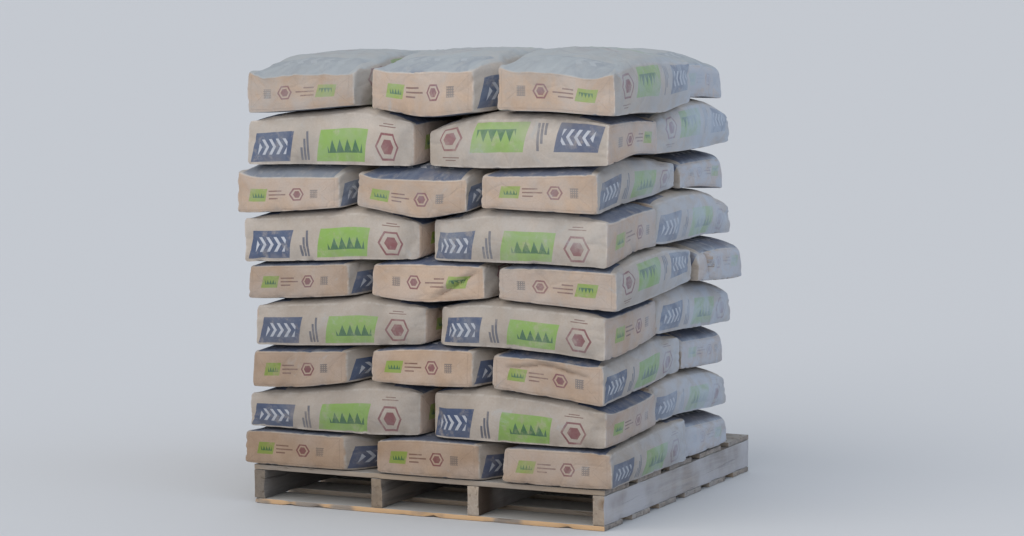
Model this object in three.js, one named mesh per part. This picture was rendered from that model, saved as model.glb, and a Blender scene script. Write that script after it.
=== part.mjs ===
import * as THREE from 'three';

// A pallet of cement sacks: nine layers of five block-bottom paper sacks on a four-stringer
// timber pallet. Millimetres, +Z up. The wide front of the load faces -Y and +X is its right.
// While it is laid out, X and Y are counted from the front left corner of the 1200 x 1000 load.
// The origin of the finished group is the middle of its footprint, on the ground.

// Timber pallet
const palletWidth = 1148;
const palletDepth = 1180;
const palletLeft = 24;
const palletFront = 20;
const boardThickness = 15;
const stringerWidth = 38;
const stringerHeight = 88;
const stringerPlaces = [0, 396, 712, palletWidth - stringerWidth];
const stringerNames = ['stringer_left', 'stringer_inner_left', 'stringer_inner_right', 'stringer_right'];
const deckBoards = { count: 5, width: 184, name: 'deck_board' };
const bottomBoards = { count: 6, width: 140, name: 'bottom_board' };
const deckTop = 2 * boardThickness + stringerHeight;

// Sacks: 600 x 400 nominal. Three lie end-on in front with two crosswise behind them,
// and every second layer is turned round. The ends are folded flat, narrower than the middle.
// The rim of a face drops along the sack's sides and at its ends. The ends of the sacks that
// lie crosswise, in the direction of X, sag most, and the other ends are pressed flat.
// Where two sacks lie crosswise end to end, the corners between them are rounded more.
// A fold line of a surface is followed only where it passes foldMargin inside the shoulders.
const restGap = 0.3;
const joint = 4;
const topShoulder = 60;
const bottomShoulder = 32;
const foldMargin = 20;
const topRim = { inset: 8, sideDrop: 11, crosswiseDrop: 22, endOnDrop: 5 };
const bottomRim = { inset: 5, sideDrop: 7, crosswiseDrop: 9, endOnDrop: 6 };
const endTaper = 21;
const endRound = 3;
const innerRound = 20;
const cornerDroop = 6;

// Heights of the surfaces on which the layers meet, and of the crown of the load. Each is a
// rise across the width, at every 200 mm, plus a rise over the depth, at every 200 mm, so
// the patches between those lines are flat and a sack lies true on the ones under it.
const patch = 200;
const restSurfaces = [
  { across: [118, 118, 118, 118, 118, 118, 118], back: [0, 0, 0, 0, 0, 0] },
  { across: [230, 228, 226, 234, 232, 231, 234], back: [0, 10, 22, 28, 16, 6] },
  { across: [348, 358, 388, 384, 390, 376, 352], back: [0, 8, 20, 33, 24, 14] },
  { across: [474, 481, 492, 505, 508, 502, 482], back: [0, 14, 36, 32, 22, 15] },
  { across: [614, 625, 643, 628, 650, 640, 628], back: [0, 8, 20, 36, 22, 12] },
  { across: [722, 731, 744, 750, 750, 752, 748], back: [0, 33, 40, 40, 43, 30] },
  { across: [871, 886, 905, 872, 912, 908, 902], back: [0, 18, 26, 40, 31, 11] },
  { across: [1013, 1020, 1021, 1022, 1022, 1030, 1042], back: [0, 30, 18, 16, 18, 23] },
  { across: [1169, 1184, 1204, 1168, 1193, 1195, 1183], back: [0, 2, -6, 22, 26, 8] },
  { across: [1342, 1362, 1362, 1370, 1374, 1378, 1350], back: [-38, 0, 2, -10, -12, -44] },
];

// Where the joints of each layer lie: the edges of the front row and of the back row from left
// to right, and the front, middle and back edges of the layer. The load was set down by hand,
// so the layers wander. dips is how far the front edges of the front row sag more than others.
const layers = [
  { front: [-8, 436, 844, 1206], back: [4, 598, 1190], deep: [2, 606, 988] },
  { front: [13, 600, 1190], back: [6, 405, 802, 1184], deep: [-2, 396, 992] },
  { front: [21, 422, 812, 1180], back: [-6, 592, 1176], deep: [0, 604, 984], dips: [6, 2, 12] },
  { front: [34, 624, 1186], back: [18, 412, 806, 1192], deep: [-4, 404, 1006] },
  { front: [6, 420, 831, 1216], back: [12, 610, 1232], deep: [4, 606, 1004] },
  { front: [-8, 600, 1190], back: [2, 396, 798, 1194], deep: [0, 392, 990] },
  { front: [-26, 378, 780, 1162], back: [-12, 590, 1172], deep: [-3, 602, 982], dips: [26, 26, 10] },
  { front: [8, 584, 1194], back: [10, 402, 796, 1190], deep: [2, 390, 986] },
  { front: [13, 427, 829, 1214], back: [22, 604, 1168], deep: [-2, 606, 980], dips: [22, 19, 21] },
];

// Height of the rest surface that lies on top of the given number of layers
function restHeight(count, x, y) {
  const surface = restSurfaces[count];
  return alongStops(surface.across, x) + alongStops(surface.back, y);
}

function alongStops(values, place) {
  const cell = Math.min(Math.max(Math.floor(place / patch), 0), values.length - 2);
  const share = Math.min(Math.max(place / patch - cell, 0), 1);
  return values[cell] + (values[cell + 1] - values[cell]) * share;
}

// The fold lines of the rest surfaces that a sack from low to high reaches well within its edges
function foldLines(low, high) {
  const lines = [];
  const margin = topShoulder + foldMargin;
  for (let line = Math.ceil((low + margin) / patch) * patch; line <= high - margin; line += patch) {
    lines.push(line);
  }
  return lines;
}

// One face of a sack, as rows of points: true to its rest surface as far as the shoulder, and
// rolling over from there to the rim. side is 1 for the upper face and -1 for the lower.
function sackFace(box, surfaceIndex, side, shoulder, rim) {
  const stopsX = faceStops(box.left, box.right, shoulder, rim);
  const stopsY = faceStops(box.front, box.back, shoulder, rim);
  const lastX = stopsX.length - 1;
  const lastY = stopsY.length - 1;
  const endOn = box.back - box.front > box.right - box.left;
  return stopsY.map((y, row) => stopsX.map((x, column) => {
    const rimX = column === 0 ? 1 : column === lastX ? -1 : 0;
    const rimY = row === 0 ? 1 : row === lastY ? -1 : 0;
    const corner = rimX !== 0 && rimY !== 0;
    const atEnd = endOn ? rimY !== 0 : rimX !== 0;
    let ease = restGap / 2;
    if (rimX !== 0 || rimY !== 0) ease = rim.sideDrop;
    if (atEnd) ease = endOn ? rim.endOnDrop : rim.crosswiseDrop;
    if (corner && side > 0) ease += cornerDroop;
    if (row === 0 && side > 0) ease += box.dip;
    const round = box.innerEnd === -rimX ? innerRound : endRound;
    const pullX = corner ? (endOn ? endTaper : round) : 0;
    const pullY = corner ? (endOn ? endRound : endTaper) : 0;
    const height = restHeight(surfaceIndex, x, y) - side * ease;
    return new THREE.Vector3(x + rimX * pullX, y + rimY * pullY, height);
  }));
}

function faceStops(low, high, shoulder, rim) {
  return [low + rim.inset, low + shoulder, ...foldLines(low, high), high - shoulder, high - rim.inset];
}

// The girth of a sack at half its height: the rim's outline pushed out to the full footprint
function girthPoints(upperRim, lowerRim, box) {
  const middleX = (box.left + box.right) / 2;
  const middleY = (box.front + box.back) / 2;
  const nearSide = (topRim.inset + endTaper + topShoulder) / 2;
  return upperRim.map((upper, index) => {
    const middle = upper.clone().lerp(lowerRim[index], 0.5);
    const atSideX = Math.min(upper.x - box.left, box.right - upper.x) < nearSide;
    const atSideY = Math.min(upper.y - box.front, box.back - upper.y) < nearSide;
    if (atSideX) middle.x += Math.sign(middle.x - middleX) * topRim.inset / 2;
    if (atSideY) middle.y += Math.sign(middle.y - middleY) * topRim.inset / 2;
    return middle;
  });
}

// The points round the edge of a face, counterclockwise seen from above
function rimPoints(rows) {
  const lastRow = rows.length - 1;
  const lastColumn = rows[0].length - 1;
  const points = [];
  for (let column = 0; column < lastColumn; column += 1) points.push(rows[0][column]);
  for (let row = 0; row < lastRow; row += 1) points.push(rows[row][lastColumn]);
  for (let column = lastColumn; column > 0; column -= 1) points.push(rows[lastRow][column]);
  for (let row = lastRow; row > 0; row -= 1) points.push(rows[row][0]);
  return points;
}

// Adds the two triangles of a patch whose corners run counterclockwise seen from outside
function addPatch(positions, a, b, c, d) {
  for (const point of [a, b, c, a, c, d]) positions.push(point.x, point.y, point.z);
}

function sackGeometry(box, layerIndex) {
  const upper = sackFace(box, layerIndex + 1, 1, topShoulder, topRim);
  const lower = sackFace(box, layerIndex, -1, bottomShoulder, bottomRim);
  const positions = [];
  for (let row = 0; row < upper.length - 1; row += 1) {
    for (let column = 0; column < upper[0].length - 1; column += 1) {
      addPatch(positions, upper[row][column], upper[row][column + 1],
        upper[row + 1][column + 1], upper[row + 1][column]);
      addPatch(positions, lower[row][column], lower[row + 1][column],
        lower[row + 1][column + 1], lower[row][column + 1]);
    }
  }
  const upperRim = rimPoints(upper);
  const lowerRim = rimPoints(lower);
  const girth = girthPoints(upperRim, lowerRim, box);
  for (let index = 0; index < girth.length; index += 1) {
    const next = (index + 1) % girth.length;
    addPatch(positions, lowerRim[index], lowerRim[next], girth[next], girth[index]);
    addPatch(positions, girth[index], girth[next], upperRim[next], upperRim[index]);
  }
  const geometry = new THREE.BufferGeometry();
  geometry.setAttribute('position', new THREE.Float32BufferAttribute(positions, 3));
  geometry.computeVertexNormals();
  return geometry;
}

// Kraft paper sacks, layer by layer from the deck up
function makeSacks() {
  const sacks = new THREE.Group();
  layers.forEach((layer, layerIndex) => {
    const rows = [
      { name: 'front', edges: layer.front, near: layer.deep[0], far: layer.deep[1] },
      { name: 'back', edges: layer.back, near: layer.deep[1], far: layer.deep[2] },
    ];
    for (const row of rows) {
      const places = row.edges.length === 4 ? ['left', 'middle', 'right'] : ['left', 'right'];
      places.forEach((place, index) => {
        const box = {
          left: row.edges[index] + (index > 0 ? joint / 2 : 0),
          right: row.edges[index + 1] - (index < places.length - 1 ? joint / 2 : 0),
          front: row.near + (row.name === 'back' ? joint / 2 : 0),
          back: row.far - (row.name === 'front' ? joint / 2 : 0),
          dip: row.name === 'front' && layer.dips ? layer.dips[index] : 0,
          innerEnd: places.length === 3 ? 0 : index === 0 ? 1 : -1,
        };
        const paper = new THREE.MeshStandardMaterial({ color: 0xb39b80, roughness: 0.85, metalness: 0 });
        const sack = new THREE.Mesh(sackGeometry(box, layerIndex), paper);
        sack.name = `sack_${layerIndex + 1}_${row.name}_${place}`;
        sacks.add(sack);
      });
    }
  });
  return sacks;
}

// One sawn board or beam: its left, front and lower edges, and its size along X, Y and Z
function timber(name, corner, size) {
  const wood = new THREE.MeshStandardMaterial({ color: 0x8f8473, roughness: 0.9, metalness: 0 });
  const piece = new THREE.Mesh(new THREE.BoxGeometry(...size), wood);
  piece.name = name;
  piece.position.set(corner[0] + size[0] / 2, corner[1] + size[1] / 2, corner[2] + size[2] / 2);
  return piece;
}

// Boards of one kind, spread evenly from the front edge of the pallet to its back edge
function boardRow(kind, height) {
  const pitch = (palletDepth - kind.width) / (kind.count - 1);
  const boards = new THREE.Group();
  for (let index = 0; index < kind.count; index += 1) {
    const corner = [palletLeft, palletFront + index * pitch, height];
    boards.add(timber(`${kind.name}_${index + 1}`, corner, [palletWidth, kind.width, boardThickness]));
  }
  return boards;
}

function makePallet() {
  const pallet = new THREE.Group();
  pallet.add(boardRow(bottomBoards, 0));
  stringerPlaces.forEach((place, index) => {
    const corner = [palletLeft + place, palletFront, boardThickness];
    pallet.add(timber(stringerNames[index], corner, [stringerWidth, palletDepth, stringerHeight]));
  });
  pallet.add(boardRow(deckBoards, deckTop - boardThickness));
  return pallet;
}

const load = new THREE.Group();
load.add(makePallet());
load.add(makeSacks());
const footprint = new THREE.Box3().setFromObject(load);
const middle = footprint.getCenter(new THREE.Vector3());
load.position.set(-middle.x, -middle.y, 0);
const palletOfSacks = new THREE.Group();
palletOfSacks.add(load);

export default palletOfSacks;
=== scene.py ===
import math
import random

import bpy
import numpy as np
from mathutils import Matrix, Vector, noise
from mathutils.bvhtree import BVHTree


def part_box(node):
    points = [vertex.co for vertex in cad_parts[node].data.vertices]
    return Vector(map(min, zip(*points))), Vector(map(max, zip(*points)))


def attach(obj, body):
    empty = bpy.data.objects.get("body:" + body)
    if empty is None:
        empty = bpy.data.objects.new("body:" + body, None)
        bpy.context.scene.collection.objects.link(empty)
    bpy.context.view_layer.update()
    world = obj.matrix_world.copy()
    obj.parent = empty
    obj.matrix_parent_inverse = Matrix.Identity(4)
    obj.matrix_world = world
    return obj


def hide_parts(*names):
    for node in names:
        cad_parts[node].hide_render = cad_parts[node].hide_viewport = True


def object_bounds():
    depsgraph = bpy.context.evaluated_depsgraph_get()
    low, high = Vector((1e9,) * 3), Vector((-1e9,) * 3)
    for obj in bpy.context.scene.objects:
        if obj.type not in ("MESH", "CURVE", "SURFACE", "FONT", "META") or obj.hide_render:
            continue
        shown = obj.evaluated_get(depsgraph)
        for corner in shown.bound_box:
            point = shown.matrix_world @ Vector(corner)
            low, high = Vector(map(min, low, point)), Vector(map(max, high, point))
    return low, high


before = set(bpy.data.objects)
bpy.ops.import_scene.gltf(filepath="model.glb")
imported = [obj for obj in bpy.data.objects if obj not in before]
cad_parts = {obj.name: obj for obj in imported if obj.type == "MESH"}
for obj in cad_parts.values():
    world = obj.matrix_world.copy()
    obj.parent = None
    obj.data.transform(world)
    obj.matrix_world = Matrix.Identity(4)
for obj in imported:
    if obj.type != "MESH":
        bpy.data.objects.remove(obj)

# The camera stands off the right front corner of the load at eye height, a little above
# the top sacks, and frames the load from pallet to crown.
cad_low, cad_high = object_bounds()
eye_azimuth = math.radians(24.8)
eye_elevation = math.radians(5.5)
eye_distance = 9.4
eye_lens = 107
eye_sight = 200
eye_shift = Vector((0.01, 0, -0.005))
eye_target = (cad_low + cad_high) / 2 + eye_shift
eye_data = bpy.data.cameras.new("eye")
eye_data.lens = eye_lens
eye_data.clip_end = eye_sight
eye = bpy.data.objects.new("eye", eye_data)
eye_back = Vector((
    math.sin(eye_azimuth) * math.cos(eye_elevation),
    -math.cos(eye_azimuth) * math.cos(eye_elevation),
    math.sin(eye_elevation),
))
eye.location = eye_target + eye_back * eye_distance
eye.rotation_euler = (-eye_back).to_track_quat("-Z", "Y").to_euler()
bpy.context.scene.collection.objects.link(eye)
bpy.context.scene.camera = eye

# Floor and light: a plain pale floor under a plain soft sky. Four broad lights make the
# shading of a cloudy day: a warm one from the left front, a cool one from the right, a low
# one in front and a weak one behind.
floor_size = 400
floor_drop = 0.0006
floor_colour = (0.62, 0.63, 0.65, 1)
sky_colour = (0.87, 0.92, 1.0, 1)
sky_strength = 0.58
bpy.ops.object.select_all(action="DESELECT")
bpy.ops.mesh.primitive_plane_add(size=floor_size, location=(0, 0, -floor_drop))
floor = bpy.context.object
floor.name = "floor"
floor_finish = bpy.data.materials.new("pale_floor")
floor_finish.use_nodes = True
floor_shader = floor_finish.node_tree.nodes["Principled BSDF"]
floor_shader.inputs["Base Color"].default_value = floor_colour
floor_shader.inputs["Roughness"].default_value = 1.0
floor_shader.inputs["Specular IOR Level"].default_value = 0.0
floor.data.materials.append(floor_finish)

sky = bpy.data.worlds.new("soft_sky")
bpy.context.scene.world = sky
sky.use_nodes = True
sky.node_tree.nodes["Background"].inputs["Color"].default_value = sky_colour
sky.node_tree.nodes["Background"].inputs["Strength"].default_value = sky_strength
bpy.context.scene.view_settings.view_transform = "Standard"


def cloudy_light(name, toward, strength, spread, colour):
    light_data = bpy.data.lights.new(name, "SUN")
    light_data.energy = strength
    light_data.angle = math.radians(spread)
    light_data.color = colour
    light = bpy.data.objects.new(name, light_data)
    light.rotation_euler = Vector(toward).to_track_quat("-Z", "Y").to_euler()
    bpy.context.scene.collection.objects.link(light)


cloudy_light("left_front_light", (0.40, 0.85, -0.70), 1.22, 60, (1.0, 0.93, 0.84))
cloudy_light("right_light", (-0.9, 0.35, -0.45), 0.76, 90, (0.68, 0.83, 1.0))
cloudy_light("low_front_light", (-0.05, 1.0, -0.12), 0.76, 45, (1.0, 0.95, 0.90))
cloudy_light("back_light", (0.15, -1.0, -0.42), 0.42, 60, (0.86, 0.93, 1.0))

# Pallet timber: rough sawn softwood boards and stringers, nailed together and grey from
# years of weather. Each piece is a sawn bar with broken, chipped edges and worn faces.
deck_count = 5
bottom_count = 6
stringers = ("stringer_left", "stringer_inner_left", "stringer_inner_right", "stringer_right")
stringer_tones = (0.56, 0.68, 1.10, 0.97)
deck_tones = (0.82, 1.08)
bottom_tones = (0.85, 1.05)

# grain: where it starts in the first piece, and how far on in each next one
deck_grain = (3.1, 1.7)
bottom_grain = (17.3, 2.3)
stringer_grain = (41.9, 3.7)
grain_along = 1.6
grain_across = 34
knot_pitch = 0.16

# edges, wear and chips
timber_edge = 0.0016
timber_cut = 0.024
timber_smooth = math.radians(40)
timber_wear = 0.0016
edge_wear_share = 1.6
face_wear_share = 0.25
end_wear_share = 0.02
wear_pitch = 14
edge_reach = 0.004
timber_chip = 0.007
chip_pitch = 21
chip_from = 0.22
chip_span = 0.5
stringer_chip_share = 0.8
board_split_most = 0.6
stained_stringer = "stringer_inner_right"
stain_reach = 0.14
# how much of the pale blue-grey each piece takes on its right-facing faces: partly dust, partly painted cool
# light
dust_and_light_share = {"board": 0.2, "stringer": 0.1, "stringer_right": 0.85}

# colours of the wood, its marks and its dust, with painted shade in the checks and painted cool light on the
# right side
wood_dark = (0.13, 0.10, 0.08)
wood_pale = (0.33, 0.265, 0.21)
wood_grey = (0.27, 0.25, 0.235)
wood_fibre = (0.36, 0.34, 0.31)
wood_knot = (0.10, 0.055, 0.03)
wood_check_shade = (0.06, 0.045, 0.035)
wood_damp = (0.115, 0.085, 0.07)
wood_fresh = (0.60, 0.39, 0.215)
wood_tan = (0.38, 0.29, 0.205)
wood_old_stain = (0.075, 0.052, 0.038)
deck_dust = (0.50, 0.50, 0.49)
side_dust_and_cool_light = (0.47, 0.47, 0.505)


def finish_node(tree, kind, settings=None, inputs=None):
    made = tree.nodes.new(kind)
    for key, value in (settings or {}).items():
        setattr(made, key, value)
    for key, value in (inputs or {}).items():
        if isinstance(value, bpy.types.NodeSocket):
            tree.links.new(value, made.inputs[key])
        else:
            made.inputs[key].default_value = value
    return made


def finish_sum(tree, operation, *values, clamp=False):
    made = finish_node(tree, "ShaderNodeMath", {"operation": operation, "use_clamp": clamp},
                       dict(enumerate(values)))
    return made.outputs["Value"]


def finish_range(tree, value, low, high, start=0.0, end=1.0):
    made = finish_node(tree, "ShaderNodeMapRange", {"clamp": True, "interpolation_type": "SMOOTHSTEP"},
                       {"Value": value, "From Min": low, "From Max": high, "To Min": start, "To Max": end})
    return made.outputs["Result"]


def finish_mix(tree, share, below, above):
    made = finish_node(tree, "ShaderNodeMix", {"data_type": "RGBA"})
    colours = [socket for socket in made.inputs if socket.type == "RGBA"]
    for socket, value in ((made.inputs[0], share), (colours[0], below), (colours[1], above)):
        if isinstance(value, bpy.types.NodeSocket):
            tree.links.new(value, socket)
        else:
            socket.default_value = (*value, 1)
    return [socket for socket in made.outputs if socket.type == "RGBA"][0]


def finish_noise(tree, place, scale, detail=4.0, rough=0.55, warp=0.0):
    made = finish_node(tree, "ShaderNodeTexNoise", {"noise_dimensions": "3D"},
                       {"Vector": place, "Scale": scale, "Detail": detail, "Roughness": rough,
                        "Distortion": warp})
    return made.outputs["Fac"]


def finish_attribute(tree, name, output="Fac"):
    return finish_node(tree, "ShaderNodeAttribute", {"attribute_name": name}).outputs[output]


def finish_shift(tree, place, seed):
    made = finish_node(tree, "ShaderNodeVectorMath", {"operation": "ADD"}, {0: place, 1: seed})
    return made.outputs["Vector"]


def finish_tone(tree, colour, tone):
    made = finish_node(tree, "ShaderNodeVectorMath", {"operation": "SCALE"}, {0: colour, "Scale": tone})
    return made.outputs["Vector"]


def finish_bump(tree, relief, strength, depth):
    made = finish_node(tree, "ShaderNodeBump",
                       inputs={"Height": relief, "Strength": strength, "Distance": depth})
    return made.outputs["Normal"]


def facing(tree, axis):
    geometry = finish_node(tree, "ShaderNodeNewGeometry")
    split = finish_node(tree, "ShaderNodeSeparateXYZ", inputs={"Vector": geometry.outputs["Normal"]})
    return split.outputs[axis]


def weathered_timber(name, grain_stretch):
    finish = bpy.data.materials.new(name)
    finish.use_nodes = True
    tree = finish.node_tree
    shader = tree.nodes["Principled BSDF"]

    def ranged(*values):
        return finish_range(tree, *values)

    def both(one, two):
        return finish_sum(tree, "MULTIPLY", one, two)

    place = finish_node(tree, "ShaderNodeTexCoord").outputs["Object"]
    height = finish_node(tree, "ShaderNodeSeparateXYZ", inputs={"Vector": place}).outputs["Z"]
    spot = finish_shift(tree, place, finish_attribute(tree, "timber_seed"))
    along = finish_node(tree, "ShaderNodeMapping", inputs={"Vector": spot, "Scale": grain_stretch})
    along = along.outputs["Vector"]
    fresh = finish_attribute(tree, "fresh_cut")
    to_front = ranged(facing(tree, "Y"), -0.9, -0.5, 1.0, 0.0)
    to_right = ranged(facing(tree, "X"), 0.3, 0.9)
    to_sky = ranged(facing(tree, "Z"), 0.4, 0.95)

    # the wood: year rings, grey blotches, raised fibres, knots, drying checks darkened with painted shade,
    # and damp
    rings = finish_noise(tree, along, 1.0, 5.0, 0.6, 0.6)
    fibres = finish_noise(tree, along, 5.5, 3.0, 0.6)
    blotch = finish_noise(tree, spot, 3.2, 4.0, 0.6)
    knots = finish_node(tree, "ShaderNodeTexVoronoi", {"feature": "F1"},
                        {"Vector": along, "Scale": knot_pitch}).outputs["Distance"]
    checks = ranged(finish_noise(tree, along, 2.3, 2.0, 0.4), 0.30, 0.36, 1.0, 0.0)
    damp = ranged(finish_noise(tree, spot, 5.3, 3.0, 0.5), 0.60, 0.72, 0.0, 0.75)
    colour = finish_mix(tree, ranged(rings, 0.36, 0.64), wood_dark, wood_pale)
    colour = finish_mix(tree, ranged(blotch, 0.36, 0.66, 0.10, 0.75), colour, wood_grey)
    colour = finish_mix(tree, ranged(fibres, 0.35, 0.75, 0.0, 0.5), colour, wood_fibre)
    colour = finish_mix(tree, ranged(knots, 0.03, 0.12, 0.75, 0.0), colour, wood_knot)
    # painted shade: the drying checks darkened as if shaded inside
    colour = finish_mix(tree, both(checks, 0.6), colour, wood_check_shade)
    colour = finish_mix(tree, damp, colour, wood_damp)

    # the front edge of the first bottom board, knocked and split off fresh
    split_off = ranged(finish_noise(tree, spot, 4.6, 3.0, 0.6), 0.44, 0.52, 0.05, 0.9)
    colour = finish_mix(tree, both(both(fresh, to_front), split_off), colour, wood_fresh)

    # cement dust on the upper faces, thickest on the bottom boards, and on the right side a pale blue-grey
    # that is partly dust and partly painted cool light
    swept_under = ranged(height, 0.02, 0.05, 0.9, 0.0)
    lain = ranged(finish_noise(tree, spot, 9.0, 5.0, 0.65), 0.3, 0.7)
    on_top = both(both(to_sky, finish_sum(tree, "MAXIMUM", lain, swept_under)), 0.8)
    colour = finish_mix(tree, on_top, colour, deck_dust)
    # painted cool light and dust: right-facing faces turned pale blue-grey
    blown_and_lit = both(to_right, ranged(blotch, 0.32, 0.60, 0.42, 1.0))
    blown_and_lit = both(blown_and_lit, finish_attribute(tree, "dust_and_light_side"))
    colour = finish_mix(tree, blown_and_lit, colour, side_dust_and_cool_light)

    # the rest of the front faces, rubbed tan, and the old dark stain of one stringer
    tan = both(to_front, ranged(blotch, 0.30, 0.62, 0.70, 0.25))
    tan = both(tan, finish_sum(tree, "SUBTRACT", 1.0, fresh))
    colour = finish_mix(tree, tan, colour, wood_tan)
    old_stain = both(finish_attribute(tree, "dark_stain"), ranged(blotch, 0.36, 0.50, 0.35, 1.0))
    colour = finish_mix(tree, old_stain, colour, wood_old_stain)
    colour = finish_tone(tree, colour, finish_attribute(tree, "timber_tone"))

    tree.links.new(colour, shader.inputs["Base Color"])
    tree.links.new(ranged(fibres, 0.3, 0.7, 0.78, 0.95), shader.inputs["Roughness"])
    shader.inputs["Specular IOR Level"].default_value = 0.25
    relief = finish_sum(tree, "ADD", both(fibres, 0.7), both(checks, -0.8))
    tree.links.new(finish_bump(tree, relief, 0.7, 0.0022), shader.inputs["Normal"])
    return finish


board_timber = weathered_timber("weathered_board", (grain_along, grain_across, grain_across))
stringer_timber = weathered_timber("weathered_stringer", (grain_across, grain_along, grain_across))


def cut_across(axis, place):
    plane_point = [0.0, 0.0, 0.0]
    plane_point[axis] = place
    direction = [0.0, 0.0, 0.0]
    direction[axis] = 1.0
    bpy.ops.mesh.select_all(action="SELECT")
    bpy.ops.mesh.bisect(plane_co=plane_point, plane_no=direction)


def saw_timber(node, finish, length_axis, seed, tone, fresh=0.0, dust_and_light=dust_and_light_share["board"]):
    low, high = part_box(node)
    centre = (low + high) / 2
    bpy.ops.object.select_all(action="DESELECT")
    bpy.ops.mesh.primitive_cube_add(size=1, location=centre)
    bar = bpy.context.object
    bar.name = node + "_sawn"
    bpy.ops.object.mode_set(mode="EDIT")
    bpy.ops.mesh.select_all(action="SELECT")
    bpy.ops.transform.resize(value=tuple(high - low))
    bpy.ops.mesh.bevel(offset=timber_edge, segments=2, affect="EDGES")
    for axis, cut_length in ((length_axis, timber_cut), (2 if length_axis == 1 else 1, timber_cut / 2)):
        cuts = round((high[axis] - low[axis]) / cut_length)
        for cut in range(1, cuts):
            cut_across(axis, low[axis] + (high[axis] - low[axis]) * cut / cuts)
    bpy.ops.object.mode_set(mode="OBJECT")
    bpy.ops.object.transform_apply(location=True, rotation=True, scale=True)

    stains = [0.0] * len(bar.data.vertices)
    for vertex in bar.data.vertices:
        from_sides = [min(vertex.co[axis] - low[axis], high[axis] - vertex.co[axis]) for axis in range(3)]
        on_edge = sorted(from_sides)[1] < edge_reach
        wear_share = edge_wear_share if on_edge else face_wear_share
        wear = noise.noise(vertex.co * wear_pitch + Vector((seed, 0, seed))) * 0.5 + 0.5
        inward = centre - vertex.co
        inward[length_axis] *= end_wear_share
        vertex.co += inward.normalized() * timber_wear * wear * wear_share
        if on_edge:
            chip = noise.noise(vertex.co * chip_pitch + Vector((0, seed, 0)))
            chip = max(0.0, chip - chip_from) / chip_span
            if length_axis == 1 and vertex.co.x > high.x - edge_reach:
                vertex.co.x -= timber_chip * chip * stringer_chip_share
            if length_axis == 0 and vertex.co.y < low.y + edge_reach:
                vertex.co.y += timber_chip * chip * (1.0 + fresh)
                vertex.co.z += (centre.z - vertex.co.z) * min(board_split_most, chip * fresh)
        if node == stained_stringer and vertex.co.x > centre.x and vertex.co.y > low.y + timber_edge / 2:
            stains[vertex.index] = min(1.0, max(0.0, 2 - 2 * (vertex.co.y - low.y) / stain_reach))
    for key, value in (("timber_seed", seed), ("fresh_cut", fresh), ("dust_and_light_side", dust_and_light),
                       ("timber_tone", tone)):
        layer = bar.data.attributes.new(key, "FLOAT", "POINT")
        layer.data.foreach_set("value", [value] * len(bar.data.vertices))
    bar.data.attributes.new("dark_stain", "FLOAT", "POINT").data.foreach_set("value", stains)
    bar.data.materials.append(finish)
    bpy.ops.object.shade_smooth_by_angle(angle=timber_smooth)
    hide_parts(node)
    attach(bar, "root")


timber_draw = random.Random(8)
for index in range(deck_count):
    saw_timber(f"deck_board_{index + 1}", board_timber, 0, deck_grain[0] + deck_grain[1] * index,
               timber_draw.uniform(*deck_tones))
for index in range(bottom_count):
    saw_timber(f"bottom_board_{index + 1}", board_timber, 0, bottom_grain[0] + bottom_grain[1] * index,
               timber_draw.uniform(*bottom_tones), fresh=1.0 if index == 0 else 0.0)
for index, (name, tone) in enumerate(zip(stringers, stringer_tones)):
    saw_timber(name, stringer_timber, 1, stringer_grain[0] + stringer_grain[1] * index, tone,
               dust_and_light=dust_and_light_share.get(name, dust_and_light_share["stringer"]))

# Nail heads: round wire nails, three through each deck board into each stringer, driven
# flush. Rain has rusted them, unevenly, and worn their heads dull.
nail_radius = 0.0042
nail_depth = 0.002
nail_proud = 0.0004
nail_sides = 12
nails_across = 3
nail_drift = 0.006
noise_seed = 5
rust_pitch = 600
rust_dark = (0.10, 0.045, 0.025)
rust_pale = (0.22, 0.17, 0.14)
nail_rust = bpy.data.materials.new("rusty_nail")
nail_rust.use_nodes = True
nail_tree = nail_rust.node_tree
nail_shader = nail_tree.nodes["Principled BSDF"]
nail_place = finish_node(nail_tree, "ShaderNodeTexCoord").outputs["Object"]
nail_patch = finish_range(nail_tree, finish_noise(nail_tree, nail_place, rust_pitch, 3.0), 0.4, 0.6)
nail_colour = finish_mix(nail_tree, nail_patch, rust_dark, rust_pale)
nail_tree.links.new(nail_colour, nail_shader.inputs["Base Color"])
nail_shader.inputs["Roughness"].default_value = 0.7
nail_shader.inputs["Metallic"].default_value = 0.6
noise.seed_set(noise_seed)
bpy.ops.object.select_all(action="DESELECT")
bpy.ops.mesh.primitive_cylinder_add(vertices=nail_sides, radius=nail_radius, depth=nail_depth)
first_head = bpy.context.object
nail_heads = []
for index in range(deck_count):
    board_low, board_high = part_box(f"deck_board_{index + 1}")
    for name in stringers:
        beam_low, beam_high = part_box(name)
        for across in range(nails_across):
            share = (across + 0.5) / nails_across
            drift = noise.noise_vector(Vector((index * 3.3, across * 5.1, beam_low.x * 9))) * nail_drift
            head = bpy.data.objects.new(f"nail_head_{len(nail_heads) + 1}", first_head.data.copy())
            head.location = ((beam_low.x + beam_high.x) / 2 + drift.x,
                             board_low.y + (board_high.y - board_low.y) * share + drift.y,
                             board_high.z - timber_wear * 0.2 + nail_proud - nail_depth / 2)
            bpy.context.scene.collection.objects.link(head)
            nail_heads.append(head)
bpy.data.objects.remove(first_head)
for head in nail_heads:
    head.select_set(True)
bpy.context.view_layer.objects.active = nail_heads[-1]
bpy.ops.object.join()
bpy.ops.object.transform_apply(location=True, rotation=True, scale=True)
nails = bpy.context.object
nails.name = "deck_nails"
nails.data.materials.clear()
nails.data.materials.append(nail_rust)
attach(nails, "root")

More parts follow.
